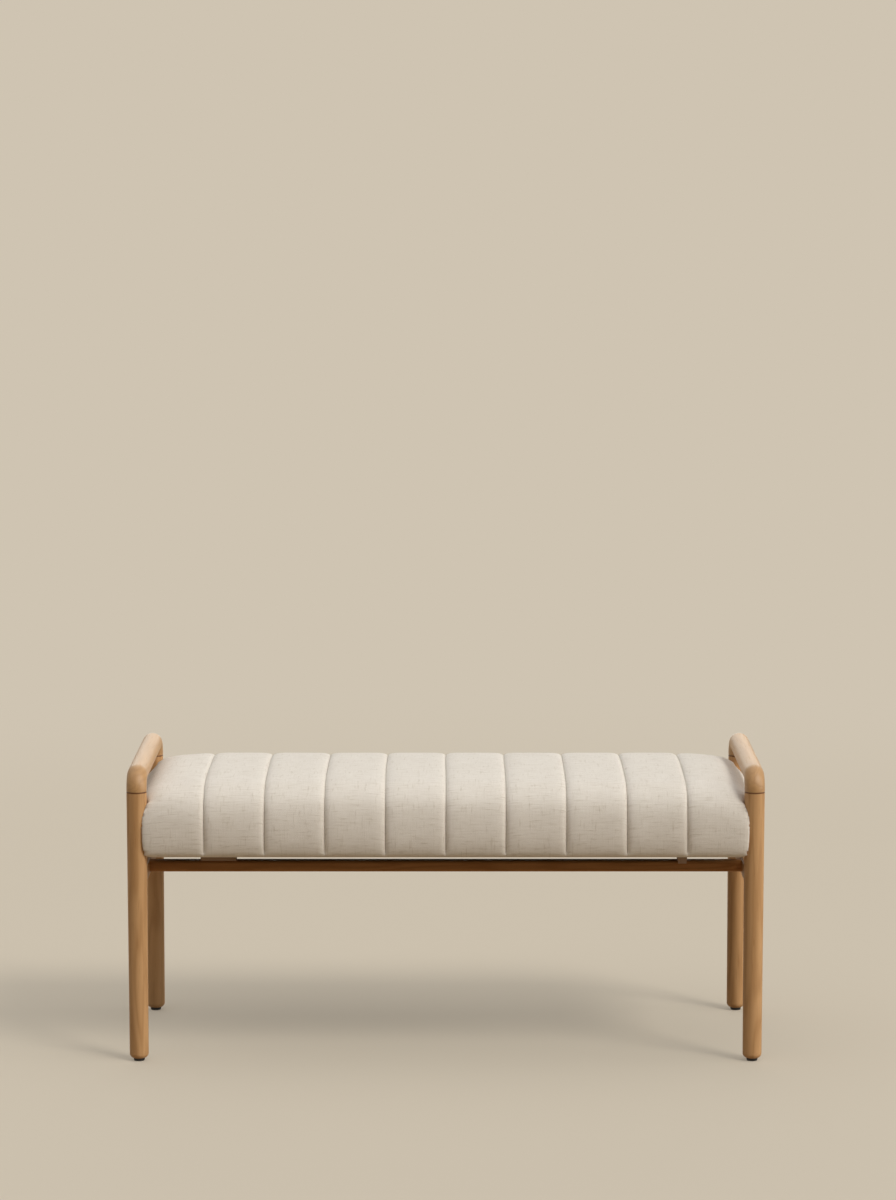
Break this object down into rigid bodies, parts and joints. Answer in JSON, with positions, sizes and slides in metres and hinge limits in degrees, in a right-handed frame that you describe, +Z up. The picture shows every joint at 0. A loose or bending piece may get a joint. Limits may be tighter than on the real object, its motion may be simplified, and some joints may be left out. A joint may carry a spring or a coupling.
{
  "type": "upholstered bench",
  "caption": "Upholstered bench: a channel-quilted seat between wooden end frames with turned legs and rounded arm rails, joined by slim rails under the seat.",
  "frame": {"origin": "on the floor, under the middle of the bench", "axes": "+X along the bench, to the right in the picture, +Y from front to back, +Z up"},
  "size_m": [1.1062, 0.426, 0.5175],
  "materials": {
    "oak": "satin",
    "oak_shade": "satin",
    "dowel_wood": "matte",
    "dark_wood": "matte",
    "plywood": "matte",
    "linen": "matte",
    "foam": "matte",
    "dust_cloth": "matte",
    "black_plastic": "matte",
    "brown_plastic": "matte",
    "zinc": "satin"
  },
  "bodies": {
    "root": {"leg_front_left": "oak", "leg_front_right": "oak", "leg_back_left": "oak", "leg_back_right": "oak", "arm_left": "oak", "arm_right": "oak", "side_rail_left": "oak_shade", "side_rail_right": "oak_shade", "rail_front": "oak_shade", "rail_back": "oak_shade", "arm_dowels": "dowel_wood", "side_rail_dowels": "dowel_wood", "rail_bolts": "zinc", "barrel_nuts": "zinc", "spacer_block_front": "dark_wood", "spacer_block_back": "dark_wood", "seat_clip_front": "brown_plastic", "seat_clip_back": "brown_plastic", "seat_board": "plywood", "foam_core": "foam", "cushion_cover": "linen", "dust_cover": "dust_cloth", "seat_screws": "zinc", "t_nuts": "zinc", "glide_front_left": "black_plastic", "glide_front_right": "black_plastic", "glide_back_left": "black_plastic", "glide_back_right": "black_plastic", "glide_nails": "zinc"}
  },
  "joints": []
}
